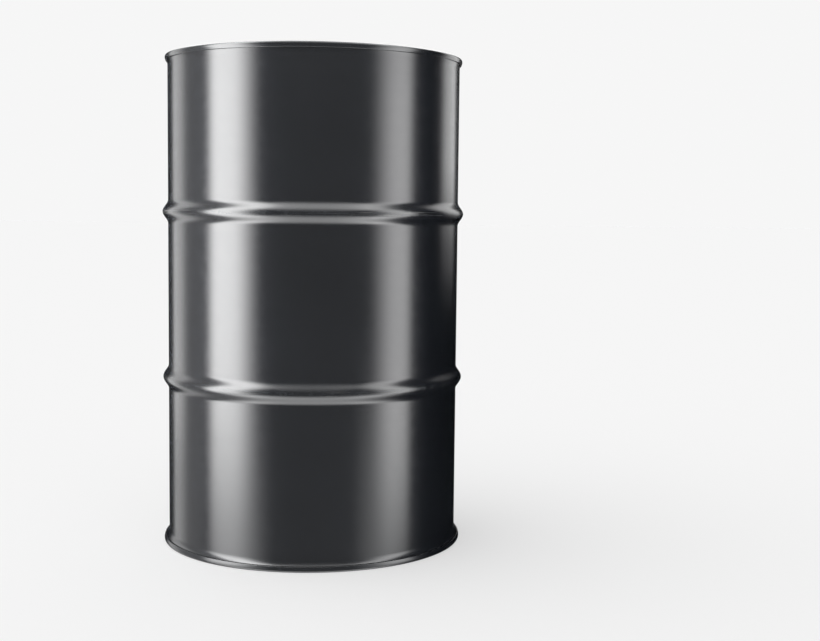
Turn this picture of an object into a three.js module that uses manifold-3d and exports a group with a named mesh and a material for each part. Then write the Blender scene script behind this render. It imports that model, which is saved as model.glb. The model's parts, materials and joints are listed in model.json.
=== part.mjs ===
// Tight-head steel drum, about 230 litres: a rolled shell with two rolling hoops, two countersunk heads
// seamed on at the chimes, and a 2-inch bung closure in a funnel-shaped recess of the top head.
// Millimetres, +Z up. The origin is the centre of the circle that the bottom chime stands on.

import * as THREE from 'three';
import { mergeVertices } from 'three/addons/utils/BufferGeometryUtils.js';
import Module from 'manifold-3d';

const wasm = await Module();
wasm.setup();

// ---- Driving dimensions ------------------------------------------------------------------------

const OVERALL_HEIGHT = 937;        // from the bottom chime's land to the top chime's land
const BODY_RADIUS = 282;           // outside of the plain shell
const HOOP_RADIUS = 292.5;         // crest of a rolling hoop
const TOP_CHIME_RADIUS = 287;      // outside of the rolled seam at the top
const BOTTOM_CHIME_RADIUS = 291.5; // and at the bottom, where the shell's foot flares more
const FLARE_START = 11;            // depth below a chime's land where the wall leaves the seam
const TOP_FLARE_END = 20;          // and where the flare has run out into the plain shell
const BOTTOM_FLARE_END = 28;
const SHEET = 1;                   // steel sheet of the shell and both heads
const GAP = 0.3;                   // left between neighbouring pieces

const LOWER_HOOP_Z = 321;
const UPPER_HOOP_Z = 640;
const HOOP_HALF_WIDTH = 23;

const PANEL_DEPTH = 21;            // from a chime's land down to the head's flat panel
const LEDGE_DEPTH = 18;            // to the ledge that runs round the panel
const PANEL_RADIUS = 253;
const LEDGE_INNER_RADIUS = 259;
const LEDGE_OUTER_RADIUS = 268;

const BUNG_OFFSET = 150;           // closure's axis from the drum's axis
const BUNG_ANGLE = THREE.MathUtils.degToRad(135);
const BOSS_HEIGHT = 8;             // raised pad round the recess, above the panel
const BOSS_BASE_RADIUS = 72;
const BOSS_TOP_RADIUS = 69;
const FUNNEL_RIM_RADIUS = 54;
const FUNNEL_THROAT_RADIUS = 35.6;
const FUNNEL_DEPTH = 27;           // cone, from the boss's top to the throat
const THROAT_FLOOR_DEPTH = 28.9;   // middle of the sheet under the throat, below the panel
const NECK_HOLE_RADIUS = 32.5;     // hole in that floor for the flange's neck

const NECK_RADIUS = 32;            // flange neck outside
const NECK_BORE_RADIUS = 29.3;     // flange thread, stood in for by a plain bore
const NECK_TOP_DEPTH = 23.8;       // below the panel
const NECK_FOOT_DEPTH = 40;
const FLANGE_PLATE_DEPTH = 31.6;
const FLANGE_PLATE_THICKNESS = 4;
const FLANGE_ACROSS_FLATS = 84;
const FLANGE_GASKET_RADIUS = 39.5;
const FLANGE_GASKET_THICKNESS = 1.5;

const PLUG_RIM_RADIUS = 31.9;
const PLUG_RIM_TOP_DEPTH = 18.7;
const PLUG_RIM_THICKNESS = 2.5;
const PLUG_RIM_BEVEL = 1.6;
const PLUG_THREAD_RADIUS = 28.9;   // G2 thread, stood in for by a plain cylinder
const PLUG_FOOT_DEPTH = 38;
const PLUG_CUP_RADIUS = 25.5;      // wrench recess
const PLUG_FLOOR_THICKNESS = 2.5;
const PLUG_LUGS = 4;
const PLUG_LUG_WIDTH = 7;
const PLUG_LUG_REACH = 6;
const PLUG_LUG_HEIGHT = 10;
const PLUG_GASKET_THICKNESS = 2;

const SEAL_SHEET = 0.4;
const SEAL_RADIUS = 32.7;
const SEAL_CORNER = 2;
const SEAL_TOP_DEPTH = 18;
const SEAL_HEIGHT = 8;

const DRUM_SIDES = 36;             // facets round the drum
const BUNG_SIDES = 28;             // facets round the closure

// ---- Places that follow from them --------------------------------------------------------------

const HALF_SHEET = SHEET / 2;
const NEST = SHEET + GAP;                                   // pitch of two nested sheets
const SHELL_RADIUS = BODY_RADIUS - HALF_SHEET;              // middle of the shell's sheet
const SEAM_REACH = 4.6;                                     // from the middle of the wall to the seam's outside
const TOP_SEAM_RADIUS = TOP_CHIME_RADIUS - SEAM_REACH;      // middle of the wall inside the seam
const BOTTOM_SEAM_RADIUS = BOTTOM_CHIME_RADIUS - SEAM_REACH;
const PANEL_Z = OVERALL_HEIGHT - PANEL_DEPTH;               // upper face of the top head's panel
const BUNG_X = BUNG_OFFSET * Math.cos(BUNG_ANGLE);
const BUNG_Y = BUNG_OFFSET * Math.sin(BUNG_ANGLE);

// ---- Materials ---------------------------------------------------------------------------------

const material = (color, roughness, metalness) =>
  new THREE.MeshStandardMaterial({ color, roughness, metalness });

const charcoalEnamel = () => material(0x2b2e33, 0.3, 0.4);
const zincPlate = () => material(0xa9adb0, 0.35, 0.9);
const blackRubber = () => material(0x17181a, 0.8, 0);
const whiteGasket = () => material(0xd6d3c8, 0.6, 0);
const seamCompound = () => material(0x6e5b48, 0.8, 0);

// ---- Profiles in the plane of radius and height ------------------------------------------------

const at = (radius, height) => new THREE.Vector2(radius, height);
const leftNormal = (from, to) => at(from.y - to.y, to.x - from.x).normalize();

/** The polyline beside an open path, a distance to its right, with mitred corners. */
function beside(path, distance) {
  const last = path.length - 1;
  return path.map((point, i) => {
    const before = leftNormal(path[Math.max(i - 1, 0)], path[Math.max(i, 1)]);
    const after = leftNormal(path[Math.min(i, last - 1)], path[Math.min(i + 1, last)]);
    const mitre = before.clone().add(after);
    return point.clone().addScaledVector(mitre, -distance / (1 + before.dot(after)));
  });
}

/** Outline of a sheet whose middle follows the path. */
function sheetOutline(path, thickness) {
  return [...beside(path, thickness / 2), ...beside(path, -thickness / 2).reverse()];
}

/** Solid of revolution about Z. An outline that leaves the axis is closed on itself. */
function turned(outline, sides) {
  const onAxis = outline[0].x === 0;
  const profile = onAxis ? outline : [...outline, outline[0].clone()];
  return new THREE.LatheGeometry(profile, sides).rotateX(Math.PI / 2);
}

/** Ring or tube of rectangular section between two heights. */
function ring(innerRadius, outerRadius, low, high, sides) {
  const corners = [at(innerRadius, low), at(outerRadius, low), at(outerRadius, high), at(innerRadius, high)];
  return turned(corners, sides);
}

// ---- Solids that are cut or joined -------------------------------------------------------------

/** Closed mesh to a manifold solid; triangles that shrink to a line on the axis are dropped. */
function solid(geometry) {
  const bare = geometry.clone();
  bare.deleteAttribute('normal');
  bare.deleteAttribute('uv');
  const merged = mergeVertices(bare, 1e-4);
  const corners = Array.from(merged.index.array);
  const kept = [];
  for (let i = 0; i < corners.length; i += 3) {
    const [a, b, c] = corners.slice(i, i + 3);
    if (a !== b && b !== c && c !== a) kept.push(a, b, c);
  }
  const vertProperties = new Float32Array(merged.attributes.position.array);
  return new wasm.Manifold(new wasm.Mesh({ numProp: 3, vertProperties, triVerts: new Uint32Array(kept) }));
}

function geometryOf(manifold) {
  const mesh = manifold.getMesh();
  const geometry = new THREE.BufferGeometry();
  geometry.setAttribute('position', new THREE.BufferAttribute(mesh.vertProperties, 3));
  geometry.setIndex(new THREE.BufferAttribute(mesh.triVerts, 1));
  geometry.computeVertexNormals();
  return geometry;
}

// ---- Chime: the rolled seam at each end --------------------------------------------------------
// Heights here are depths below the chime's land, so the same curves serve both ends. Radii are
// measured from the middle of the shell's wall inside the seam, so they take that wall's radius.

/** Middle of the head's sheet: up the countersink wall, over the land, down the skirt. */
const curl = (wall) => [
  at(wall - NEST, 2.8),
  at(wall - 0.6, 1.1),
  at(wall + 0.7, HALF_SHEET),
  at(wall + 2.1, HALF_SHEET),
  at(wall + 3.4, 1.1),
  at(wall + SEAM_REACH - HALF_SHEET, 2.8),
  at(wall + SEAM_REACH - HALF_SHEET, 6.2),
];

const HOOK_TOP = 4.6;

/** End of the head's sheet, turned in under the shell's flange and up again beside the wall. */
const hook = (wall) => [
  at(wall + 2.7, 9.5),
  at(wall + 2.3, 10.1),
  at(wall + 1.7, 10.1),
  at(wall + 1.4, 9.5),
  at(wall + 1.4, HOOK_TOP),
];

/** Countersunk edge of a head, from the flat panel out to the end of the hook. */
function headEdge(wall) {
  return [
    at(PANEL_RADIUS, PANEL_DEPTH + HALF_SHEET),
    at(LEDGE_INNER_RADIUS, LEDGE_DEPTH + HALF_SHEET),
    at(LEDGE_OUTER_RADIUS, LEDGE_DEPTH + HALF_SHEET),
    at(wall - NEST - 3.6, 14.8),
    at(wall - NEST, 10.4),
    ...curl(wall),
    ...hook(wall),
  ];
}

/** The shell's flange nests inside the head's curl, from the wall outwards. */
const shellFlange = (wall) => beside(curl(wall), -NEST);

/** Bead of sealing compound in the pocket between the wall, the flange and the hook's end. */
function compoundSection(wall) {
  const inner = wall + HALF_SHEET + GAP;
  const outer = wall + SEAM_REACH - HALF_SHEET - NEST - HALF_SHEET - GAP;
  const floor = HOOK_TOP - GAP;
  const roof = HALF_SHEET + NEST + HALF_SHEET + GAP;
  const corner = 0.4;
  return [at(inner, roof + corner), at(inner + corner, roof), at(outer - corner, roof),
    at(outer, roof + corner), at(outer, floor), at(inner, floor)];
}

const fromTop = (path) => path.map((p) => at(p.x, OVERALL_HEIGHT - p.y));

/** Seen from the other end, an outline runs the other way round, so it is turned back. */
const flipped = (outline) => outline.slice().reverse();

// ---- Drum ---------------------------------------------------------------------------------------

/** Smooth swell from 0 to 1 as s goes from -1 to 0, and back to 0 at 1. */
const swell = (s) => (1 + Math.cos(Math.PI * s)) / 2;

/** Middle of the shell's sheet over a rolling hoop: a rounded crest with hollow flanks. */
function hoop(middle) {
  const height = HOOP_RADIUS - BODY_RADIUS;
  const crest = 0.1;
  const stations = [-1, -0.7, -0.4, -crest, crest, 0.4, 0.7, 1];
  return stations.map((s) => {
    const rise = Math.abs(s) === crest ? 1 : swell(s);
    return at(SHELL_RADIUS + height * rise, middle + HOOP_HALF_WIDTH * s);
  });
}

/** Middle of the shell's sheet below a seam, flaring out to the wall inside that seam. */
function flare(wall, end) {
  return [0, 0.3, 0.6, 1].map((s) => {
    const reach = (wall - SHELL_RADIUS) * (1 - s) ** 2;
    return at(SHELL_RADIUS + reach, THREE.MathUtils.lerp(FLARE_START, end, s));
  });
}

function shell() {
  const foot = [...flipped(shellFlange(BOTTOM_SEAM_RADIUS)), ...flare(BOTTOM_SEAM_RADIUS, BOTTOM_FLARE_END)];
  const shoulder = [...flipped(shellFlange(TOP_SEAM_RADIUS)), ...flare(TOP_SEAM_RADIUS, TOP_FLARE_END)];
  const path = [...foot, ...hoop(LOWER_HOOP_Z), ...hoop(UPPER_HOOP_Z), ...flipped(fromTop(shoulder))];
  return turned(sheetOutline(path, SHEET), DRUM_SIDES);
}

function bottomHead() {
  const path = [at(0, PANEL_DEPTH + HALF_SHEET), ...headEdge(BOTTOM_SEAM_RADIUS)];
  return turned(sheetOutline(path, SHEET), DRUM_SIDES);
}

/** Pressed boss and funnel round the closure, on its own axis, heights above the panel's middle. */
function funnel() {
  const panelMiddle = -HALF_SHEET;
  const padMiddle = BOSS_HEIGHT - HALF_SHEET;
  const path = [
    at(NECK_HOLE_RADIUS, -THROAT_FLOOR_DEPTH),
    at(FUNNEL_THROAT_RADIUS, -THROAT_FLOOR_DEPTH),
    at(FUNNEL_THROAT_RADIUS, BOSS_HEIGHT - FUNNEL_DEPTH),
    at(FUNNEL_RIM_RADIUS, padMiddle),
    at(BOSS_TOP_RADIUS, padMiddle),
    at(BOSS_BASE_RADIUS, panelMiddle),
    at(BOSS_BASE_RADIUS + 5, panelMiddle),
  ];
  return turned(sheetOutline(path, SHEET), BUNG_SIDES).translate(BUNG_X, BUNG_Y, PANEL_Z);
}

function topHead() {
  const path = fromTop([at(0, PANEL_DEPTH + HALF_SHEET), ...headEdge(TOP_SEAM_RADIUS)]);
  const pressing = solid(turned(sheetOutline(path, SHEET), DRUM_SIDES));
  const cutter = new THREE.CylinderGeometry(BOSS_BASE_RADIUS + 4, BOSS_BASE_RADIUS + 4, 10, BUNG_SIDES);
  const opening = solid(cutter.rotateX(Math.PI / 2).translate(BUNG_X, BUNG_Y, PANEL_Z));
  return geometryOf(pressing.subtract(opening).add(solid(funnel())));
}

const bottomCompound = () => turned(compoundSection(BOTTOM_SEAM_RADIUS), DRUM_SIDES);
const topCompound = () => turned(flipped(fromTop(compoundSection(TOP_SEAM_RADIUS))), DRUM_SIDES);

// ---- Closure, on its own axis, heights above the panel ------------------------------------------

function bungFlange() {
  const neck = ring(NECK_BORE_RADIUS, NECK_RADIUS, -NECK_FOOT_DEPTH, -NECK_TOP_DEPTH, BUNG_SIDES);
  const outline = new THREE.Shape();
  const cornerRadius = FLANGE_ACROSS_FLATS / 2 / Math.cos(Math.PI / 8);
  for (let i = 0; i < 8; i += 1) {
    const angle = (i + 0.5) * Math.PI / 4;
    const corner = at(cornerRadius * Math.cos(angle), cornerRadius * Math.sin(angle));
    if (i === 0) outline.moveTo(corner.x, corner.y);
    else outline.lineTo(corner.x, corner.y);
  }
  outline.closePath();
  const bore = new THREE.Path().absarc(0, 0, (NECK_BORE_RADIUS + NECK_RADIUS) / 2, 0, 2 * Math.PI, true);
  outline.holes.push(bore);
  const plate = new THREE.ExtrudeGeometry(outline, {
    depth: FLANGE_PLATE_THICKNESS,
    bevelEnabled: false,
    curveSegments: BUNG_SIDES,
  });
  plate.translate(0, 0, -FLANGE_PLATE_DEPTH - FLANGE_PLATE_THICKNESS);
  return geometryOf(solid(neck).add(solid(plate)));
}

function flangeGasket() {
  const low = -FLANGE_PLATE_DEPTH + GAP;
  return ring(NECK_RADIUS + GAP, FLANGE_GASKET_RADIUS, low, low + FLANGE_GASKET_THICKNESS, BUNG_SIDES);
}

function plug() {
  const rimUnderside = -PLUG_RIM_TOP_DEPTH - PLUG_RIM_THICKNESS;
  const cupFloor = -PLUG_FOOT_DEPTH + PLUG_FLOOR_THICKNESS;
  const cup = turned([
    at(0, -PLUG_FOOT_DEPTH),
    at(PLUG_THREAD_RADIUS, -PLUG_FOOT_DEPTH),
    at(PLUG_THREAD_RADIUS, rimUnderside),
    at(PLUG_RIM_RADIUS, rimUnderside),
    at(PLUG_RIM_RADIUS, -PLUG_RIM_TOP_DEPTH - PLUG_RIM_BEVEL),
    at(PLUG_RIM_RADIUS - PLUG_RIM_BEVEL, -PLUG_RIM_TOP_DEPTH),
    at(PLUG_CUP_RADIUS, -PLUG_RIM_TOP_DEPTH),
    at(PLUG_CUP_RADIUS, cupFloor),
    at(0, cupFloor),
  ], BUNG_SIDES);
  let body = solid(cup);
  const lugLength = PLUG_LUG_REACH + 1;
  for (let i = 0; i < PLUG_LUGS; i += 1) {
    const lug = new THREE.BoxGeometry(lugLength, PLUG_LUG_WIDTH, PLUG_LUG_HEIGHT + 1);
    lug.translate(PLUG_CUP_RADIUS + 1 - lugLength / 2, 0, cupFloor + (PLUG_LUG_HEIGHT - 1) / 2);
    lug.rotateZ(i * 2 * Math.PI / PLUG_LUGS);
    body = body.add(solid(lug));
  }
  return geometryOf(body);
}

function plugGasket() {
  const low = -NECK_TOP_DEPTH + GAP;
  return ring(PLUG_THREAD_RADIUS + GAP, PLUG_RIM_RADIUS - GAP, low, low + PLUG_GASKET_THICKNESS, BUNG_SIDES);
}

/** Thin crimped cap over the plug's rim and the top of the neck. */
function capSeal() {
  const middle = -SEAL_TOP_DEPTH - SEAL_SHEET / 2;
  const skirt = SEAL_RADIUS - SEAL_SHEET / 2;
  const path = [
    at(0, middle),
    at(skirt - SEAL_CORNER, middle),
    at(skirt - SEAL_CORNER * 0.3, middle - SEAL_CORNER * 0.3),
    at(skirt, middle - SEAL_CORNER),
    at(skirt, -SEAL_TOP_DEPTH - SEAL_HEIGHT),
  ];
  return turned(sheetOutline(path, SEAL_SHEET), BUNG_SIDES);
}

// ---- Assembly -----------------------------------------------------------------------------------

function node(name, geometry, finish) {
  const mesh = new THREE.Mesh(geometry, finish);
  mesh.name = name;
  return mesh;
}

const drum = new THREE.Group();
drum.add(
  node('shell', shell(), charcoalEnamel()),
  node('bottom_head', bottomHead(), charcoalEnamel()),
  node('top_head', topHead(), charcoalEnamel()),
  node('bottom_seam_compound', bottomCompound(), seamCompound()),
  node('top_seam_compound', topCompound(), seamCompound()),
);

const closure = new THREE.Group();
closure.position.set(BUNG_X, BUNG_Y, PANEL_Z);
closure.add(
  node('bung_flange', bungFlange(), zincPlate()),
  node('bung_flange_gasket', flangeGasket(), blackRubber()),
  node('bung_plug', plug(), zincPlate()),
  node('bung_plug_gasket', plugGasket(), whiteGasket()),
  node('cap_seal', capSeal(), charcoalEnamel()),
);
drum.add(closure);

export default drum;
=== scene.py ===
import json
from math import acos, ceil, cos, pi, radians, sin, tan, tau

import bmesh
import bpy
import numpy as np
from mathutils import Matrix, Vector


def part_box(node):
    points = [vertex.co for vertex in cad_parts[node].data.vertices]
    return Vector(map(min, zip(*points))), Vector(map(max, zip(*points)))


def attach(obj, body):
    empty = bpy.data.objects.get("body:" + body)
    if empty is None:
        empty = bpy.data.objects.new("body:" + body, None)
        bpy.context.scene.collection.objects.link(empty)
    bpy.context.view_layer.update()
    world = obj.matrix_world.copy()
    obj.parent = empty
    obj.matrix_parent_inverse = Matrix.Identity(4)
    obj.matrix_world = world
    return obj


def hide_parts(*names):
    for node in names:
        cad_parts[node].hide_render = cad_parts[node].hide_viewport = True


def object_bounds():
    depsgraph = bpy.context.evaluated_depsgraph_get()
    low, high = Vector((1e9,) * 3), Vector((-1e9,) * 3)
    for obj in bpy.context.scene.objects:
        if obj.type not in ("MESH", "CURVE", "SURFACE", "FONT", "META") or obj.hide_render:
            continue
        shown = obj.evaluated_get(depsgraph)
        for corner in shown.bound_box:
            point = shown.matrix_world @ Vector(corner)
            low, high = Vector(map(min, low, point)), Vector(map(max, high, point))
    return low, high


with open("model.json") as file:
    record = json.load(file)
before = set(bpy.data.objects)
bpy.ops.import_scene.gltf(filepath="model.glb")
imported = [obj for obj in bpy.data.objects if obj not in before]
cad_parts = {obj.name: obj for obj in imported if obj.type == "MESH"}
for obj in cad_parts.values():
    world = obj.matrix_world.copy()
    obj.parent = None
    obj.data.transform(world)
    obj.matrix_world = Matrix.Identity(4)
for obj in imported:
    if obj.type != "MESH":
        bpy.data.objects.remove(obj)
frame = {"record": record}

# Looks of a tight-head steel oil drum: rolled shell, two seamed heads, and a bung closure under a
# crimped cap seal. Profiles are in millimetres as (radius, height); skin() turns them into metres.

MM = 0.001

# ---- Driving dimensions: from the frame ----------------------------------------------------------

cad_low, cad_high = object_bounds()
record = frame["record"]
joints = {joint["name"]: joint for joint in record["behaviour"]["joints"]}
mounts = {mount["name"]: mount for mount in record["mounts"]}

HEIGHT = cad_high.z / MM
HOOP_RADIUS = cad_high.x / MM
TOP_CHIME_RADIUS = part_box("top_head")[1].x / MM
BOTTOM_CHIME_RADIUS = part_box("bottom_head")[1].x / MM
PANEL_Z = mounts["head_panel"]["pos_m"][2] / MM
PANEL_DEPTH = HEIGHT - PANEL_Z
BUNG = np.array(joints["plug_turn"]["pos_m"][:2]) / MM
THREAD_PITCH = record["behaviour"]["couplings"][0]["ratio"] * tau / MM

# ---- Driving dimensions: the sheet metal, as in the CAD part -------------------------------------

BODY_RADIUS = 282.0
SHEET = 1.0
GAP = 0.3
NEST = SHEET + GAP              # pitch of two nested sheets
SEAM_REACH = 4.6                # from the middle of the wall to the outside of its seam
SEAM_BEND = 2.2                 # middle of the head's sheet round the chime
SEAM_FOOT = 10.1                # depth of the head's hook below the chime's land
FLANGE_END = 6.2                # depth where the shell's flange ends
HOOK_TOP = 4.6                  # depth where the head's hook ends
FLARE_START = 11.0              # depth where the wall leaves the seam
TOP_FLARE_END = 20.0            # and where the flare has run out into the plain shell
BOTTOM_FLARE_END = 22.0

HOOP_HEIGHTS = (321.0, 640.0)
HOOP_HALF_WIDTH = 23.0

PANEL_RADIUS = 253.0
LEDGE_DEPTH = 18.0
LEDGE_INNER = 259.0
LEDGE_OUTER = 268.0
WALL_FOOT_DEPTH = 13.4

BOSS_HEIGHT = 8.0
BOSS_BASE = 72.0
BOSS_TOP = 69.0
FUNNEL_RIM = 54.0
FUNNEL_THROAT = 35.6
FUNNEL_DEPTH = 27.0
THROAT_FLOOR = 28.9
NECK_HOLE = 32.5

NECK_RADIUS = 32.0
NECK_TOP = -23.8                # heights of the closure are above the panel
NECK_FOOT = -40.0
PLATE_TOP = -31.6
PLATE_THICKNESS = 4.0
PLATE_ACROSS_FLATS = 84.0
PLATE_CORNER = 44.8             # the octagon's corners are cut off at this radius
PLATE_EDGE = 0.6                # chamfer round the plate
FLANGE_GASKET_RADIUS = 39.5
FLANGE_GASKET_THICKNESS = 1.5

THREAD_RADIUS = 28.75           # middle of the plug's thread
THREAD_HEIGHT = 0.65            # from there to a crest
THREAD_CLEARANCE = 0.25

PLUG_RIM_TOP = -18.7
PLUG_RIM_RADIUS = 31.9
PLUG_RIM_UNDERSIDE = -21.2
PLUG_FOOT = -38.0
CUP_RADIUS = 25.5
CUP_FLOOR = -35.5
LUG_TOP = -25.5
LUG_REACH = 6.0
LUG_HALF_WIDTH = 3.5
LUGS = 4
PLUG_GASKET_INNER = 29.2
PLUG_GASKET_OUTER = 31.6
PLUG_GASKET_THICKNESS = 2.0

SEAL_RADIUS = 32.7
SEAL_TOP = -18.0
SEAL_FOOT = -26.0
SEAL_SHEET = 0.4
SEAL_FLUTES = 36
SEAL_FLUTE_DEPTH = 0.35
SEAL_GROOVE_DEPTH = 0.7         # of the ring pressed into its disc

WELD_ANGLE = radians(63)        # the shell's side seam, from +X towards +Y
WELD_HALF_WIDTH = radians(1.1)
WELD_RISE = 0.25

# ---- How finely things are drawn -----------------------------------------------------------------

SEGMENTS = 192                  # round the drum and round the closure
ARC_STEP = radians(11)          # between two points of a bend
SUPPORT = 0.6                   # extra points beside each bend, so that flats stay flat
SHARP = radians(38)

# ---- Profiles ------------------------------------------------------------------------------------


def unit(vector):
    return vector / np.linalg.norm(vector)


def arc(before, corner, after, bend):
    """Points of the arc that rounds a corner between two straight runs."""
    back = unit(before - corner)
    ahead = unit(after - corner)
    half = acos(np.clip(back @ ahead, -1, 1)) / 2
    centre = corner + unit(back + ahead) * bend / sin(half)
    spoke = corner + back * bend / tan(half) - centre
    turn = (pi - 2 * half) * np.sign(back[1] * ahead[0] - back[0] * ahead[1])
    steps = max(2, ceil(abs(turn) / ARC_STEP))
    found = []
    for angle in np.linspace(0, turn, steps + 1):
        c, s = cos(angle), sin(angle)
        found.append(centre + np.array([c * spoke[0] - s * spoke[1], s * spoke[0] + c * spoke[1]]))
    return found


def rounded(corners):
    """Polyline through corners given as (radius, height) or (radius, height, bend radius)."""
    places = [np.array(corner[:2], float) for corner in corners]
    points = [places[0]]
    for i in range(1, len(corners) - 1):
        bend = corners[i][2] if len(corners[i]) == 3 else 0
        points += arc(places[i - 1], places[i], places[i + 1], bend) if bend else [places[i]]
    points.append(places[-1])
    return supported(points)


def supported(points):
    """The same polyline, with a point a little way in from both ends of each long run."""
    found = [points[0]]
    for start, end in zip(points, points[1:]):
        run = np.linalg.norm(end - start)
        if run > 5 * SUPPORT:
            step = (end - start) * SUPPORT / run
            found += [start + step, end - step]
        found.append(end)
    return np.array(found)


def beside(path, distance):
    """The polyline beside a path, a distance to its right, with mitred corners."""
    steps = np.diff(path, axis=0)
    lefts = np.stack([-steps[:, 1], steps[:, 0]], 1) / np.linalg.norm(steps, axis=1)[:, None]
    before = np.vstack([lefts[:1], lefts])
    after = np.vstack([lefts, lefts[-1:]])
    mitre = (before + after) / (1 + (before * after).sum(1))[:, None]
    return path - mitre * distance


def sheet_outline(path, thickness):
    """Closed outline of a sheet whose middle follows the path."""
    return np.vstack([beside(path, thickness / 2), beside(path, -thickness / 2)[::-1]])


def block(inner, outer, low, high, bend):
    """Closed rectangular outline with rounded corners."""
    middle = (inner + outer) / 2
    return rounded([(middle, low), (outer, low, bend), (outer, high, bend), (inner, high, bend),
                    (inner, low, bend), (middle, low)])[:-1]


def swell(s):
    """1 at s = 0, falling smoothly to 0 at s = -1 and 1."""
    return (1 + np.cos(pi * np.clip(s, -1, 1))) / 2


def ramp(value, start, end):
    """Smooth step from 0 at start to 1 at end."""
    t = np.clip((value - start) / (end - start), 0, 1)
    return t * t * (3 - 2 * t)


# ---- Meshes --------------------------------------------------------------------------------------

EVEN_ANGLES = np.arange(SEGMENTS) * tau / SEGMENTS


def rings(outline, angles=EVEN_ANGLES, centre=(0, 0), base=0):
    """Circles of an outline's points about an upright axis, as [outline point, angle, xyz]."""
    radius, height = outline[:, :1], outline[:, 1:]
    x = centre[0] + radius * np.cos(angles)
    y = centre[1] + radius * np.sin(angles)
    z = np.broadcast_to(base + height, x.shape)
    return np.stack([x, y, z], 2)


def linked(name, data):
    """New object in the scene."""
    piece = bpy.data.objects.new(name, data)
    bpy.context.scene.collection.objects.link(piece)
    return piece


def skin(name, grid):
    """Closed mesh over a loop of rings. A ring without width becomes one vertex."""
    places, rows = [], []
    for ring in grid:
        ring = ring[:1] if np.ptp(ring, axis=0).max() < 1e-6 else ring
        rows.append(range(len(places), len(places) + len(ring)))
        places += list(ring * MM)
    faces = []
    sides = grid.shape[1]
    for lower, upper in zip(rows, rows[1:] + rows[:1]):
        if len(lower) + len(upper) == 2:
            continue
        for i in range(sides):
            j = (i + 1) % sides
            a, b = lower[i % len(lower)], lower[j % len(lower)]
            c, d = upper[j % len(upper)], upper[i % len(upper)]
            faces.append(tuple(dict.fromkeys((a, b, c, d))))
    mesh = bpy.data.meshes.new(name)
    mesh.from_pydata(places, [], faces)
    shape = bmesh.new()
    shape.from_mesh(mesh)
    bmesh.ops.recalc_face_normals(shape, faces=shape.faces)
    shape.to_mesh(mesh)
    shape.free()
    mesh.shade_smooth()
    mesh.set_sharp_from_angle(angle=SHARP)
    return linked(name, mesh)


# ---- Chimes: depths below the land, radii from the middle of the shell's wall --------------------


def curl(wall):
    """Middle of the head's sheet from the countersink wall over the land, down and hooked under."""
    skirt = wall + SEAM_REACH - SHEET / 2
    land = SHEET / 2
    return [(wall - NEST, land, SEAM_BEND), (skirt, land, 3.2), (skirt, 5.6, 7),
            (wall + 2.65, SEAM_FOOT, 0.55), (wall + 1.4, SEAM_FOOT, 0.55), (wall + 1.4, HOOK_TOP)]


def shell_flange(wall):
    """Middle of the shell's sheet from the flange's end to the wall."""
    roof = SHEET / 2 + NEST
    outside = wall + SEAM_REACH - SHEET / 2 - NEST
    return rounded([(outside, FLANGE_END), (outside, roof, 1.6), (wall, roof, 0.9),
                    (wall, FLARE_START - 0.4)])


def flare(wall, end):
    """Middle of the shell's sheet below a seam, flaring out to the wall inside that seam."""
    depths = np.linspace(FLARE_START, end, FLARE_POINTS)
    share = (end - depths) / (end - FLARE_START)
    return np.stack([SHELL_WALL + (wall - SHELL_WALL) * share ** 2, depths], 1)


def head_edge(wall):
    """Middle of a head's sheet from the flat panel outwards."""
    ledge = LEDGE_DEPTH + SHEET / 2
    panel = PANEL_DEPTH + SHEET / 2
    return rounded([(PANEL_RADIUS - 8, panel), (PANEL_RADIUS, panel, 4), (LEDGE_INNER, ledge, 4),
                    (LEDGE_OUTER, ledge, 8), (wall - NEST, WALL_FOOT_DEPTH, 5), *curl(wall)])


def from_top(path):
    return np.stack([path[:, 0], HEIGHT - path[:, 1]], 1)


TOP_WALL = TOP_CHIME_RADIUS - SEAM_REACH
BOTTOM_WALL = BOTTOM_CHIME_RADIUS - SEAM_REACH
SHELL_WALL = BODY_RADIUS - SHEET / 2

# ---- Shell ---------------------------------------------------------------------------------------

HOOP_POINTS = 37
FLARE_POINTS = 14


def hoop(middle):
    across = np.linspace(-1, 1, HOOP_POINTS)
    rise = (HOOP_RADIUS - BODY_RADIUS) * swell(across)
    return np.stack([SHELL_WALL + rise, middle + HOOP_HALF_WIDTH * across], 1)


def shell_angles():
    """Even angles, with closer ones across the side seam."""
    across = WELD_ANGLE + WELD_HALF_WIDTH * np.array([-1.3, -1, -0.7, -0.35, 0, 0.35, 0.7, 1, 1.3])
    spare = tau / SEGMENTS / 3
    even = [a for a in EVEN_ANGLES if not across[0] - spare < a < across[-1] + spare]
    return np.sort(np.concatenate([even, across]))


def make_shell():
    path = np.vstack([
        shell_flange(BOTTOM_WALL),
        flare(BOTTOM_WALL, BOTTOM_FLARE_END),
        *[hoop(middle) for middle in HOOP_HEIGHTS],
        from_top(flare(TOP_WALL, TOP_FLARE_END))[::-1],
        from_top(shell_flange(TOP_WALL))[::-1],
    ])
    angles = shell_angles()
    grid = rings(sheet_outline(path, SHEET), angles)
    outside = grid[:len(path)]
    heights = outside[:, :, 2]
    clear = ramp(heights, BOTTOM_FLARE_END, BOTTOM_FLARE_END + 12)
    clear *= ramp(heights, HEIGHT - TOP_FLARE_END, HEIGHT - TOP_FLARE_END - 12)
    bead = WELD_RISE * swell((angles - WELD_ANGLE) / WELD_HALF_WIDTH) ** 0.5 * clear
    outside[:, :, 0] += bead * np.cos(angles)
    outside[:, :, 1] += bead * np.sin(angles)
    return skin("shell_sheet", grid)


# ---- Heads ---------------------------------------------------------------------------------------

PANEL_RINGS = 12


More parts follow.
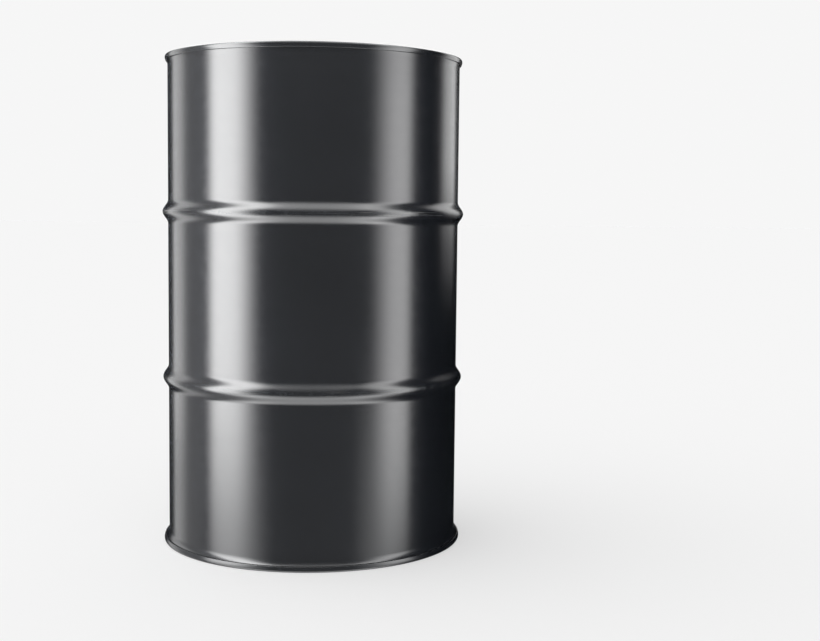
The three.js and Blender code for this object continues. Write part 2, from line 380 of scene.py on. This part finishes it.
def make_bottom_head():
    panel = PANEL_DEPTH + SHEET / 2
    middle = [(radius, panel) for radius in np.linspace(0, PANEL_RADIUS - 30, PANEL_RINGS)]
    path = np.vstack([middle, head_edge(BOTTOM_WALL)])
    return skin("bottom_head_pressing", rings(sheet_outline(path, SHEET)))


def funnel_path():
    """Middle of the top head's sheet round the bung, on its axis, heights above the panel."""
    pad = BOSS_HEIGHT - SHEET / 2
    panel = -SHEET / 2
    return rounded([(NECK_HOLE, -THROAT_FLOOR), (FUNNEL_THROAT, -THROAT_FLOOR, 1.2),
                    (FUNNEL_THROAT, BOSS_HEIGHT - FUNNEL_DEPTH, 5), (FUNNEL_RIM, pad, 5),
                    (BOSS_TOP, pad, 2.6), (BOSS_BASE, panel, 2.6), (BOSS_BASE + 6, panel)])


def make_top_head():
    """Rings round the bung's axis turn into rings round the drum's axis across the flat panel."""
    funnel = funnel_path()
    edge = from_top(head_edge(TOP_WALL))
    sides = []
    for half in (SHEET / 2, -SHEET / 2):
        inner = rings(beside(funnel, half), centre=BUNG, base=PANEL_Z)
        outer = rings(beside(edge, half))
        shares = np.linspace(0, 1, PANEL_RINGS + 2)[1:-1, None, None]
        panel = inner[-1] * (1 - shares) + outer[0] * shares
        sides.append(np.concatenate([inner, panel, outer]))
    return skin("top_head_pressing", np.concatenate([sides[0], sides[1][::-1]]))


def compound_outline(wall):
    """Bead of sealing compound in the pocket between the wall, the flange and the hook."""
    inner = wall + SHEET / 2 + GAP
    outer = wall + SEAM_REACH - SHEET / 2 - NEST - SHEET / 2 - GAP
    roof = SHEET / 2 + NEST + SHEET / 2 + GAP
    return block(inner, outer, roof, HOOK_TOP - GAP, 0.35)


def make_bottom_compound():
    return skin("bottom_seam_bead", rings(compound_outline(BOTTOM_WALL)))


def make_top_compound():
    return skin("top_seam_bead", rings(from_top(compound_outline(TOP_WALL))))


# ---- Closure: on the bung's axis, heights above the panel ----------------------------------------


def closure_rings(outline, angles=EVEN_ANGLES):
    return rings(np.array(outline, float), angles, BUNG, PANEL_Z)


def reshape(grid, rows, radius):
    """Gives some rings of a closure grid a radius that depends on the angle."""
    grid[rows, :, 0] = BUNG[0] + radius * np.cos(EVEN_ANGLES)
    grid[rows, :, 1] = BUNG[1] + radius * np.sin(EVEN_ANGLES)


THREAD_STEP = 0.26


def thread_rows(low, high):
    """Heights of the rings that carry a thread."""
    return np.linspace(low, high, ceil((high - low) / THREAD_STEP))


def thread_wave(heights):
    """Rounded right-hand thread, 1 on a crest and -1 in a root."""
    turns = heights[:, None] / THREAD_PITCH - EVEN_ANGLES / tau
    return np.cos(tau * turns)


def make_flange():
    """Octagon-based flange with a threaded neck, one closed surface."""
    plate_foot = PLATE_TOP - PLATE_THICKNESS
    bore = THREAD_RADIUS + THREAD_CLEARANCE + THREAD_HEIGHT
    neck_up = rounded([(NECK_RADIUS + PLATE_EDGE, PLATE_TOP), (NECK_RADIUS, PLATE_TOP + PLATE_EDGE),
                       (NECK_RADIUS, NECK_TOP, 0.5), (bore, NECK_TOP, 0.6), (bore, NECK_TOP - 1)])
    heights = thread_rows(NECK_FOOT + 1, NECK_TOP - 1.2)[::-1]
    threaded = [(bore, height) for height in heights]
    foot = rounded([(bore, NECK_FOOT + 0.9), (bore, NECK_FOOT, 0.6), (NECK_RADIUS, NECK_FOOT, 0.6),
                    (NECK_RADIUS, plate_foot - PLATE_EDGE)])
    plate = [(PLATE_CORNER, plate_foot), (PLATE_CORNER, plate_foot + PLATE_EDGE),
             (PLATE_CORNER, PLATE_TOP - PLATE_EDGE), (PLATE_CORNER, PLATE_TOP)]
    insets = (PLATE_EDGE, 0, 0, PLATE_EDGE)
    outline = np.vstack([neck_up, threaded, foot, [(NECK_RADIUS + PLATE_EDGE, plate_foot)], plate])
    grid = closure_rings(outline)
    fade = ramp(heights, NECK_FOOT + 0.9, NECK_FOOT + 2.6)
    fade *= ramp(heights, NECK_TOP - 1, NECK_TOP - 2.6)
    wave = bore + THREAD_HEIGHT * (thread_wave(heights) - 1) * fade[:, None]
    first = len(neck_up)
    reshape(grid, slice(first, first + len(heights)), wave)
    flat = PLATE_ACROSS_FLATS / 2
    eighth = (EVEN_ANGLES + pi / 8) % (pi / 4) - pi / 8
    octagon = np.minimum(flat / np.cos(eighth), PLATE_CORNER)
    for i, inset in enumerate(insets):
        reshape(grid, len(outline) - len(insets) + i, octagon - inset)
    return skin("flange_forging", grid)


def make_flange_gasket():
    low = PLATE_TOP + GAP
    high = low + FLANGE_GASKET_THICKNESS
    outline = block(NECK_RADIUS + GAP, FLANGE_GASKET_RADIUS, low, high, 0.4)
    return skin("flange_gasket_ring", closure_rings(outline))


def lug_share():
    """1 across each wrench lug and 0 between them, with short flanks."""
    quarter = (EVEN_ANGLES + pi / LUGS) % (tau / LUGS) - pi / LUGS
    across = np.abs(quarter) * (CUP_RADIUS - LUG_REACH / 2)
    return 1 - ramp(across, LUG_HALF_WIDTH - 0.6, LUG_HALF_WIDTH + 0.2)


def make_plug():
    """Threaded cup with a rim and four wrench lugs, one closed surface."""
    root = THREAD_RADIUS - THREAD_HEIGHT
    heights = thread_rows(PLUG_FOOT + 1.4, NECK_TOP - 0.2)
    foot = rounded([(0, PLUG_FOOT), (root, PLUG_FOOT, 1), (root, PLUG_FOOT + 1.3)])
    threaded = [(root, height) for height in heights]
    rim = rounded([(root, NECK_TOP), (root, PLUG_RIM_UNDERSIDE, 0.3),
                   (PLUG_RIM_RADIUS, PLUG_RIM_UNDERSIDE, 0.4), (PLUG_RIM_RADIUS, PLUG_RIM_TOP, 1.5),
                   (CUP_RADIUS, PLUG_RIM_TOP, 1.2), (CUP_RADIUS, LUG_TOP + 1)])
    # Wall of the cup from the top down: height, share of the lugs' reach, inset of the wall.
    cup_rows = [(LUG_TOP + 0.7, 0, 0.0), (LUG_TOP, 0.5, 0.35), (LUG_TOP - 0.6, 1, 0.0),
                (CUP_FLOOR + 1.4, 1, 0.0), (CUP_FLOOR + 0.4, 1, 0.4), (CUP_FLOOR, 1, 1.4)]
    cup = [(CUP_RADIUS, height) for height, _, _ in cup_rows]
    floor = [(radius, CUP_FLOOR) for radius in (15, 10, 5, 0)]
    outline = np.vstack([foot, threaded, rim, cup, floor])
    grid = closure_rings(outline)
    fade = ramp(heights, PLUG_FOOT + 1.3, PLUG_FOOT + 3) * ramp(heights, NECK_TOP, NECK_TOP - 1.6)
    wave = root + THREAD_HEIGHT * (thread_wave(heights) + 1) * fade[:, None]
    first = len(foot)
    reshape(grid, slice(first, first + len(heights)), wave)
    first += len(heights) + len(rim)
    lugs = lug_share()
    for i, (_, reach, inset) in enumerate(cup_rows):
        reshape(grid, first + i, CUP_RADIUS - inset - LUG_REACH * reach * lugs)
    return skin("plug_body", grid)


def make_plug_gasket():
    low = NECK_TOP + GAP
    high = low + PLUG_GASKET_THICKNESS
    outline = block(PLUG_GASKET_INNER, PLUG_GASKET_OUTER, low, high, 0.6)
    return skin("plug_gasket_ring", closure_rings(outline))


def make_cap_seal():
    """Thin pressed cap: flat disc with a grooved edge, and a skirt crimped into flutes."""
    middle = SEAL_TOP - SEAL_SHEET / 2
    skirt = SEAL_RADIUS - SEAL_SHEET / 2
    disc = [(radius, middle) for radius in np.linspace(0, skirt - 10, 8)]
    groove = middle - SEAL_GROOVE_DEPTH
    edge = rounded([(skirt - 9, middle), (skirt - 6.5, middle, 1.5), (skirt - 5.5, groove, 1.5),
                    (skirt - 3.8, groove, 1.2), (skirt - 2.6, middle, 1.2), (skirt, middle, 1.3),
                    (skirt, SEAL_FOOT + 4)])
    flute_heights = np.linspace(SEAL_FOOT + 3.7, SEAL_FOOT, 12)
    fluted = [(skirt, height) for height in flute_heights]
    path = np.vstack([disc, edge, fluted])
    grid = closure_rings(sheet_outline(path, SEAL_SHEET))
    depth = SEAL_FLUTE_DEPTH * ramp(flute_heights, SEAL_FOOT + 3.9, SEAL_FOOT + 1.5)
    flutes = depth[:, None] * (1 + np.cos(EVEN_ANGLES * SEAL_FLUTES)) / 2
    across = np.stack([flutes * np.cos(EVEN_ANGLES), flutes * np.sin(EVEN_ANGLES)], 2)
    count = len(flute_heights)
    grid[len(path) - count:len(path), :, :2] += across
    grid[len(path):len(path) + count, :, :2] += across[::-1]
    return skin("cap_seal_pressing", grid)


# ---- Materials -----------------------------------------------------------------------------------


class Nodes:
    """A short way to write a node tree."""

    def __init__(self, tree):
        self.tree = tree
        self.tree.nodes.clear()

    def add(self, kind, values=None, **settings):
        node = self.tree.nodes.new(kind)
        for name, value in settings.items():
            setattr(node, name, value)
        for name, value in (values or {}).items():
            self.feed(node.inputs[name], value)
        return node

    def feed(self, socket, value):
        if isinstance(value, bpy.types.NodeSocket):
            self.tree.links.new(value, socket)
        else:
            socket.default_value = value

    def math(self, operation, a, b=0.0):
        return self.add("ShaderNodeMath", {0: a, 1: b}, operation=operation).outputs[0]

    def times(self, a, b):
        return self.math("MULTIPLY", a, b)

    def plus(self, a, b):
        return self.math("ADD", a, b)

    def remap(self, value, low, high, to_low=0.0, to_high=1.0, smooth=True):
        values = {"Value": value, "From Min": low, "From Max": high, "To Min": to_low,
                  "To Max": to_high}
        kind = "SMOOTHSTEP" if smooth else "LINEAR"
        node = self.add("ShaderNodeMapRange", values, interpolation_type=kind, clamp=True)
        return node.outputs[0]

    def curve(self, value, stops):
        """Smooth curve through stops of (value, result), held outside them."""
        low, high = stops[0][0], stops[-1][0]
        top = max(result for _, result in stops)
        place = self.remap(value, low, high, smooth=False)
        node = self.add("ShaderNodeValToRGB", {0: place})
        node.color_ramp.interpolation = "CARDINAL"
        elements = node.color_ramp.elements
        while len(elements) < len(stops):
            elements.new(0.5)
        for element, (at, result) in zip(elements, stops):
            element.position = (at - low) / (high - low)
            share = result / top
            element.color = (share, share, share, 1.0)
        return self.times(node.outputs[0], top)

    def stretched(self, vector, scale):
        return self.add("ShaderNodeMapping", {"Vector": vector, "Scale": scale}).outputs[0]

    def noise(self, vector, scale, detail=3.0, roughness=0.5, distortion=0.0):
        values = {"Vector": vector, "Scale": scale, "Detail": detail, "Roughness": roughness,
                  "Distortion": distortion}
        return self.add("ShaderNodeTexNoise", values).outputs[0]

    def blend(self, share, a, b):
        """Colour a where share is 0 and colour b where it is 1."""
        node = self.add("ShaderNodeMix", data_type="RGBA")
        self.feed(node.inputs[0], share)
        self.feed(node.inputs[6], a)
        self.feed(node.inputs[7], b)
        return node.outputs[2]

    def bump(self, height, strength, distance, below=None):
        values = {"Height": height, "Strength": strength, "Distance": distance}
        if below is not None:
            values["Normal"] = below
        return self.add("ShaderNodeBump", values).outputs[0]


def rgb(red, green, blue):
    return (red, green, blue, 1.0)


def new_material(name):
    material = bpy.data.materials.new(name)
    material.use_nodes = True
    nodes = Nodes(material.node_tree)
    shader = nodes.add("ShaderNodeBsdfPrincipled")
    nodes.add("ShaderNodeOutputMaterial", {0: shader.outputs[0]})
    place = nodes.add("ShaderNodeTexCoord").outputs["Object"]
    return material, nodes, shader, place


RUBBED_PAINT = rgb(0.055, 0.058, 0.063)
BARE_STEEL = rgb(0.24, 0.235, 0.225)
DUST = rgb(0.42, 0.4, 0.37)


def enamel(name, dark, light):
    """Semi-gloss charcoal enamel: faint orange peel, thin dust, rubbed crests and chimes."""
    material, n, shader, place = new_material(name)
    axes = n.add("ShaderNodeSeparateXYZ", {0: place})
    level = n.add("ShaderNodeVectorMath", {0: place, 1: (1.0, 1.0, 0.0)}, operation="MULTIPLY")
    length = n.add("ShaderNodeVectorMath", {0: level.outputs[0]}, operation="LENGTH")
    radius = length.outputs["Value"]
    height = axes.outputs[2]

    cloud = n.noise(place, 5.0, 4.0, 0.55)
    mottle = n.noise(place, 60.0, 5.0, 0.6)
    grain = n.noise(place, 900.0, 2.0)
    streak = n.noise(n.stretched(place, (3.0, 3.0, 260.0)), 2.0, 5.0, 0.65)
    scratch = n.noise(n.stretched(place, (9.0, 9.0, 900.0)), 1.5, 3.0, 0.6)

    crest = n.remap(radius, (HOOP_RADIUS - 1.6) * MM, (HOOP_RADIUS - 0.1) * MM)
    top_land = n.remap(height, (HEIGHT - 1.0) * MM, (HEIGHT - 0.1) * MM)
    bottom_land = n.remap(height, 1.6 * MM, 0.2 * MM)
    edge = n.math("MAXIMUM", crest, n.math("MAXIMUM", top_land, bottom_land))
    rubbed = n.times(edge, n.remap(n.plus(n.times(streak, 0.5), n.times(mottle, 0.5)), 0.47, 0.6))
    bare = n.times(edge, n.remap(n.plus(n.times(scratch, 0.6), n.times(cloud, 0.4)), 0.585, 0.64))

    facing = n.add("ShaderNodeNewGeometry").outputs["Normal"]
    upward = n.remap(n.add("ShaderNodeSeparateXYZ", {0: facing}).outputs[2], 0.55, 0.98)
    settled = n.plus(n.times(cloud, 0.6), n.times(mottle, 0.4))
    dust = n.times(upward, n.remap(settled, 0.36, 0.68, 0.01, 0.07))

    paint = n.blend(n.remap(cloud, 0.3, 0.7), dark, light)
    paint = n.blend(n.times(rubbed, 0.35), paint, RUBBED_PAINT)
    paint = n.blend(n.times(bare, 0.5), paint, BARE_STEEL)
    paint = n.blend(dust, paint, DUST)
    n.feed(shader.inputs["Base Color"], paint)

    gloss = n.remap(n.plus(n.times(mottle, 0.45), n.times(streak, 0.55)), 0.3, 0.7, 0.19, 0.25)
    gloss = n.plus(gloss, n.times(dust, 1.2))
    gloss = n.plus(gloss, n.times(bare, 0.12))
    n.feed(shader.inputs["Roughness"], gloss)
    n.feed(shader.inputs["Metallic"], n.times(bare, 0.6))
    shader.inputs["IOR"].default_value = 1.55

    peel = n.bump(grain, 0.05, 0.0004)
    waves = n.bump(mottle, 0.03, 0.0008, peel)
    n.feed(shader.inputs["Normal"], n.bump(scratch, 0.02, 0.0002, waves))
    return material


def zinc(name):
    """Dull zinc plate with a fine crystalline mottle and turning marks."""
    material, n, shader, place = new_material(name)
    mottle = n.noise(place, 140.0, 4.0, 0.6)
    cells = n.add("ShaderNodeTexVoronoi", {"Vector": place, "Scale": 420.0}).outputs["Distance"]
    marks = n.noise(n.stretched(place, (40.0, 40.0, 1600.0)), 1.0, 3.0)
    stains = n.remap(n.noise(place, 45.0, 5.0, 0.65), 0.55, 0.75, 0.0, 0.4)
    tone = n.blend(n.remap(mottle, 0.3, 0.7), rgb(0.28, 0.287, 0.295), rgb(0.36, 0.366, 0.37))
    n.feed(shader.inputs["Base Color"], n.blend(stains, tone, rgb(0.27, 0.25, 0.21)))
    crystals = n.plus(n.times(mottle, 0.5), n.times(cells, 0.5))
    n.feed(shader.inputs["Roughness"], n.remap(crystals, 0.2, 0.6, 0.32, 0.5))
    shader.inputs["Metallic"].default_value = 0.35
    n.feed(shader.inputs["Normal"], n.bump(marks, 0.12, 0.0001, n.bump(cells, 0.06, 0.0001)))
    return material


def moulded(name, dark, light, low_gloss, high_gloss, grain_scale):
    """Matt moulded rubber or set compound: soft mottle and a fine grain."""
    material, n, shader, place = new_material(name)
    mottle = n.noise(place, 90.0, 5.0, 0.6)
    grain = n.noise(place, grain_scale, 3.0)
    n.feed(shader.inputs["Base Color"], n.blend(n.remap(mottle, 0.3, 0.7), dark, light))
    n.feed(shader.inputs["Roughness"], n.remap(mottle, 0.3, 0.7, low_gloss, high_gloss))
    n.feed(shader.inputs["Normal"], n.bump(grain, 0.25, 0.0002, n.bump(mottle, 0.2, 0.0004)))
    return material


drum_enamel = enamel("charcoal_enamel", rgb(0.0085, 0.0099, 0.0125), rgb(0.011, 0.0127, 0.016))
seal_enamel = enamel("seal_lacquer", rgb(0.011, 0.0134, 0.019), rgb(0.0145, 0.0172, 0.024))
zinc_plate = zinc("zinc_plate_finish")
black_rubber = moulded("black_rubber", rgb(0.016, 0.016, 0.017), rgb(0.032, 0.032, 0.033),
                       0.6, 0.82, 1500.0)
pale_rubber = moulded("pale_gasket_rubber", rgb(0.58, 0.55, 0.47), rgb(0.72, 0.7, 0.63),
                      0.5, 0.7, 1200.0)
compound = moulded("tan_compound", rgb(0.2, 0.14, 0.09), rgb(0.32, 0.24, 0.16), 0.65, 0.85, 700.0)

# ---- The object ----------------------------------------------------------------------------------

PIECES = (
    (make_shell, "shell", drum_enamel, "drum_enamel", "drum"),
    (make_bottom_head, "bottom_head", drum_enamel, "drum_enamel", "drum"),
    (make_top_head, "top_head", drum_enamel, "drum_enamel", "drum"),
    (make_bottom_compound, "bottom_seam_compound", compound, "seam_compound", "drum"),
    (make_top_compound, "top_seam_compound", compound, "seam_compound", "drum"),
    (make_flange, "bung_flange", zinc_plate, "zinc_plate", "drum"),
    (make_flange_gasket, "bung_flange_gasket", black_rubber, "black_gasket", "drum"),
    (make_plug, "bung_plug", zinc_plate, "zinc_plate", "plug"),
    (make_plug_gasket, "bung_plug_gasket", pale_rubber, "pale_gasket", "plug_gasket"),
    (make_cap_seal, "cap_seal", seal_enamel, "seal_enamel", "seal"),
)

for make, node, material, slot, body in PIECES:
    piece = make()
    piece.data.materials.append(material)
    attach(piece, body)
    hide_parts(node)

# ---- Floor ---------------------------------------------------------------------------------------

FLOOR_HALF = 60.0
FLOOR_DROP = 0.0002
FLOOR_GREY = 0.4
FLOOR_GLOW = 0.48               # evens out the floor's brightness out to the horizon

SQUARE = [(0, 1, 2, 3)]


def square(half, height):
    """Corners of a level square about the Z axis."""
    return [(x * half, y * half, height) for x, y in ((-1, -1), (1, -1), (1, 1), (-1, 1))]


def make_floor():
    mesh = bpy.data.meshes.new("floor")
    mesh.from_pydata(square(FLOOR_HALF, -FLOOR_DROP), [], SQUARE)
    floor = linked("floor", mesh)
    material, _, shader, _ = new_material("pale_floor")
    shader.inputs["Base Color"].default_value = rgb(FLOOR_GREY, FLOOR_GREY, FLOOR_GREY)
    shader.inputs["Emission Color"].default_value = rgb(1, 1, 1)
    shader.inputs["Emission Strength"].default_value = FLOOR_GLOW
    shader.inputs["Roughness"].default_value = 0.9
    shader.inputs["Specular IOR Level"].default_value = 0.0
    material.cycles.emission_sampling = "NONE"
    mesh.materials.append(material)
    floor.visible_glossy = False


make_floor()

# ---- Studio: glowing panels close round the drum, seen only in its reflections -------------------

WALL_RADIUS = 0.64
WALL_FOOT = -1.6
WALL_TOP = 2.4
WALL_SIDES = 96
CEILING_HEIGHT = 1.145
UNDERLIGHT_HEIGHT = -1.0
LYING_HALF = 3.0                # half the width of the two lying panels

EVEN = ((WALL_FOOT, 1), (WALL_TOP, 1))
LEFT_FALL = ((-1.6, 0), (-0.75, 0.04), (-0.12, 0.18), (0.04, 0.42), (0.19, 0.73), (0.38, 0.94),
             (0.9, 1), (1.1, 0.9), (1.37, 0.7), (1.8, 0.5), (2.4, 0.3))
RIGHT_FALL = ((-0.7, 0), (-0.14, 0.12), (-0.04, 0.36), (0.04, 0.6), (0.19, 0.9), (0.38, 0.95),
              (0.85, 1), (1.1, 0.75), (1.37, 0.48), (1.8, 0.25), (2.4, 0.1))
BOUNCE_FALL = ((-1.0, 0), (-0.5, 0.6), (-0.1, 1), (0.1, 0.95), (0.25, 0.5), (0.4, 0), (2.4, 0))
LEFT_REAR_FALL = ((-1.6, 0.4), (-0.12, 0.6), (0.08, 0.7), (0.2, 0.95), (0.4, 1), (2.4, 1))
RIGHT_REAR_FALL = ((0.4, 0), (0.5, 0.1), (0.6, 0.35), (0.75, 0.95), (0.85, 1), (2.4, 1))

# Standing panels, which share one round wall. Degrees of azimuth from the camera's side, positive
# to the right: start, width of its soft edge, end, width of its soft edge. Then the radiance, and
# shares of it by height in metres.
STANDING = (
    (-68.2, 9, -41, 20, 14.6, LEFT_FALL),
    (-62, 16, -30, 14, 1.3, BOUNCE_FALL),
    (-96, 8, -75.6, 8, 0.65, EVEN),
    (-117.5, 3, -96.5, 10, 2.2, LEFT_REAR_FALL),
    (42.3, 20, 62.8, 8, 6.3, RIGHT_FALL),
    (29, 14, 54, 16, 1.1, BOUNCE_FALL),
    (96.6, 10, 121, 3, 2.2, RIGHT_REAR_FALL),
    (-80, 40, 62, 40, 0.35, EVEN),
    (155, 44, 182, 1, 0.9, EVEN),
    (-182, 1, -155, 44, 0.9, EVEN),
)

# Lying panels: radiance by distance in front of the drum's axis. Sideways it is full out to the
# first reach and gone at the second.
CEILING_REACH = (0.3, 0.58)
UNDERLIGHT_REACH = (0.9, 1.9)
CEILING = ((-2.2, 0), (-1.1, 2), (-0.4, 3.8), (0.4, 4.2), (0.49, 3.6), (0.57, 2.4), (0.7, 1.2),
           (0.93, 0.45), (1.7, 0.1), (2.6, 0))
UNDERLIGHT = ((0, 0), (0.1, 0.7), (0.33, 2.1), (0.55, 3.8), (0.85, 4), (1.25, 2.4), (1.6, 1.2),
              (2.3, 0.4), (3.0, 0))


def reflected_only(name, corners, faces, paint):
    """A glowing panel that lets everything through and shows in reflections alone."""
    mesh = bpy.data.meshes.new(name)
    mesh.from_pydata(corners, [], faces)
    panel = linked(name, mesh)
    material = bpy.data.materials.new(name)
    material.use_nodes = True
    n = Nodes(material.node_tree)
    axes = n.add("ShaderNodeSeparateXYZ", {0: n.add("ShaderNodeTexCoord").outputs["Object"]})
    glow = n.add("ShaderNodeEmission", {"Strength": paint(n, *axes.outputs)})
    clear = n.add("ShaderNodeBsdfTransparent")
    both = n.add("ShaderNodeAddShader", {0: glow.outputs[0], 1: clear.outputs[0]})
    n.add("ShaderNodeOutputMaterial", {0: both.outputs[0]})
    material.cycles.emission_sampling = "NONE"
    mesh.materials.append(material)
    panel.visible_camera = False
    panel.visible_diffuse = False
    panel.visible_shadow = False
    panel.visible_transmission = False


def standing_light(n, x, y, z):
    """Radiance of all the standing panels at a place on the wall they share."""
    azimuth = n.math("ARCTAN2", x, n.times(y, -1.0))
    light = 0.0
    for start, start_edge, end, end_edge, radiance, fall in STANDING:
        near, far = radians(start_edge / 2), radians(end_edge / 2)
        opens = n.remap(azimuth, radians(start) - near, radians(start) + near)
        closes = n.remap(azimuth, radians(end) + far, radians(end) - far, 0.0, radiance)
        panel = n.times(opens, closes)
        light = n.plus(light, panel if fall is EVEN else n.times(panel, n.curve(z, fall)))
    return light


def lying_light(fall, reach):
    def paint(n, x, y, z):
        across = n.remap(n.math("ABSOLUTE", x), reach[1], reach[0])
        return n.times(across, n.curve(n.times(y, -1.0), fall))

    return paint


def make_panels():
    angles = np.arange(WALL_SIDES) * tau / WALL_SIDES
    corners = [(WALL_RADIUS * cos(a), WALL_RADIUS * sin(a), z)
               for z in (WALL_FOOT, WALL_TOP) for a in angles]
    faces = [(i, (i + 1) % WALL_SIDES, (i + 1) % WALL_SIDES + WALL_SIDES, i + WALL_SIDES)
             for i in range(WALL_SIDES)]
    reflected_only("light_wall", corners, faces, standing_light)
    reflected_only("ceiling_light", square(LYING_HALF, CEILING_HEIGHT), SQUARE,
                   lying_light(CEILING, CEILING_REACH))
    reflected_only("under_light", square(LYING_HALF, UNDERLIGHT_HEIGHT), SQUARE,
                   lying_light(UNDERLIGHT, UNDERLIGHT_REACH))


make_panels()

# ---- World: even backdrop for the camera, soft daylight dome for matt surfaces -------------------

BACKDROP = 0.923
DOME = 0.3                      # light from the horizon
DOME_RISE = 1.2                 # and what it gains towards the zenith
DOME_LEAN = 1.0                 # share that moves from the right to the left


def make_world():
    world = bpy.data.worlds.new("studio")
    bpy.context.scene.world = world
    world.use_nodes = True
    n = Nodes(world.node_tree)
    direction = n.add("ShaderNodeTexCoord").outputs["Generated"]
    axes = n.add("ShaderNodeSeparateXYZ", {0: direction})
    dome = n.plus(DOME, n.times(n.math("MAXIMUM", axes.outputs[2], 0.0), DOME_RISE))
    dome = n.times(dome, n.plus(1.0, n.times(axes.outputs[0], -DOME_LEAN)))
    path = n.add("ShaderNodeLightPath").outputs
    soft, dark, seen = (n.add("ShaderNodeBackground", {"Color": rgb(1, 1, 1), "Strength": strength})
                        for strength in (dome, 0.0, BACKDROP))
    unseen = n.add("ShaderNodeMixShader",
                   {0: path["Is Glossy Ray"], 1: soft.outputs[0], 2: dark.outputs[0]})
    shown = n.add("ShaderNodeMixShader",
                  {0: path["Is Camera Ray"], 1: unseen.outputs[0], 2: seen.outputs[0]})
    n.add("ShaderNodeOutputWorld", {0: shown.outputs[0]})
    world.cycles.sampling_method = "NONE"


make_world()

# ---- Camera --------------------------------------------------------------------------------------

CAMERA_PLACE = (0.0, -2.566, 0.645)
CAMERA_YAW = radians(4.26)      # to the right of +Y
CAMERA_TILT = radians(4.81)     # below the horizon
CAMERA_ROLL = radians(0.61)
CAMERA_LENS = 57.0


def make_camera():
    camera = linked("camera", bpy.data.cameras.new("camera"))
    camera.data.lens = CAMERA_LENS
    aim = Matrix.Rotation(-CAMERA_YAW, 4, "Z") @ Matrix.Rotation(pi / 2 - CAMERA_TILT, 4, "X")
    roll = Matrix.Rotation(CAMERA_ROLL, 4, "Z")
    camera.matrix_world = Matrix.Translation(CAMERA_PLACE) @ aim @ roll
    bpy.context.scene.camera = camera


make_camera()
bpy.context.scene.view_settings.view_transform = "Standard"
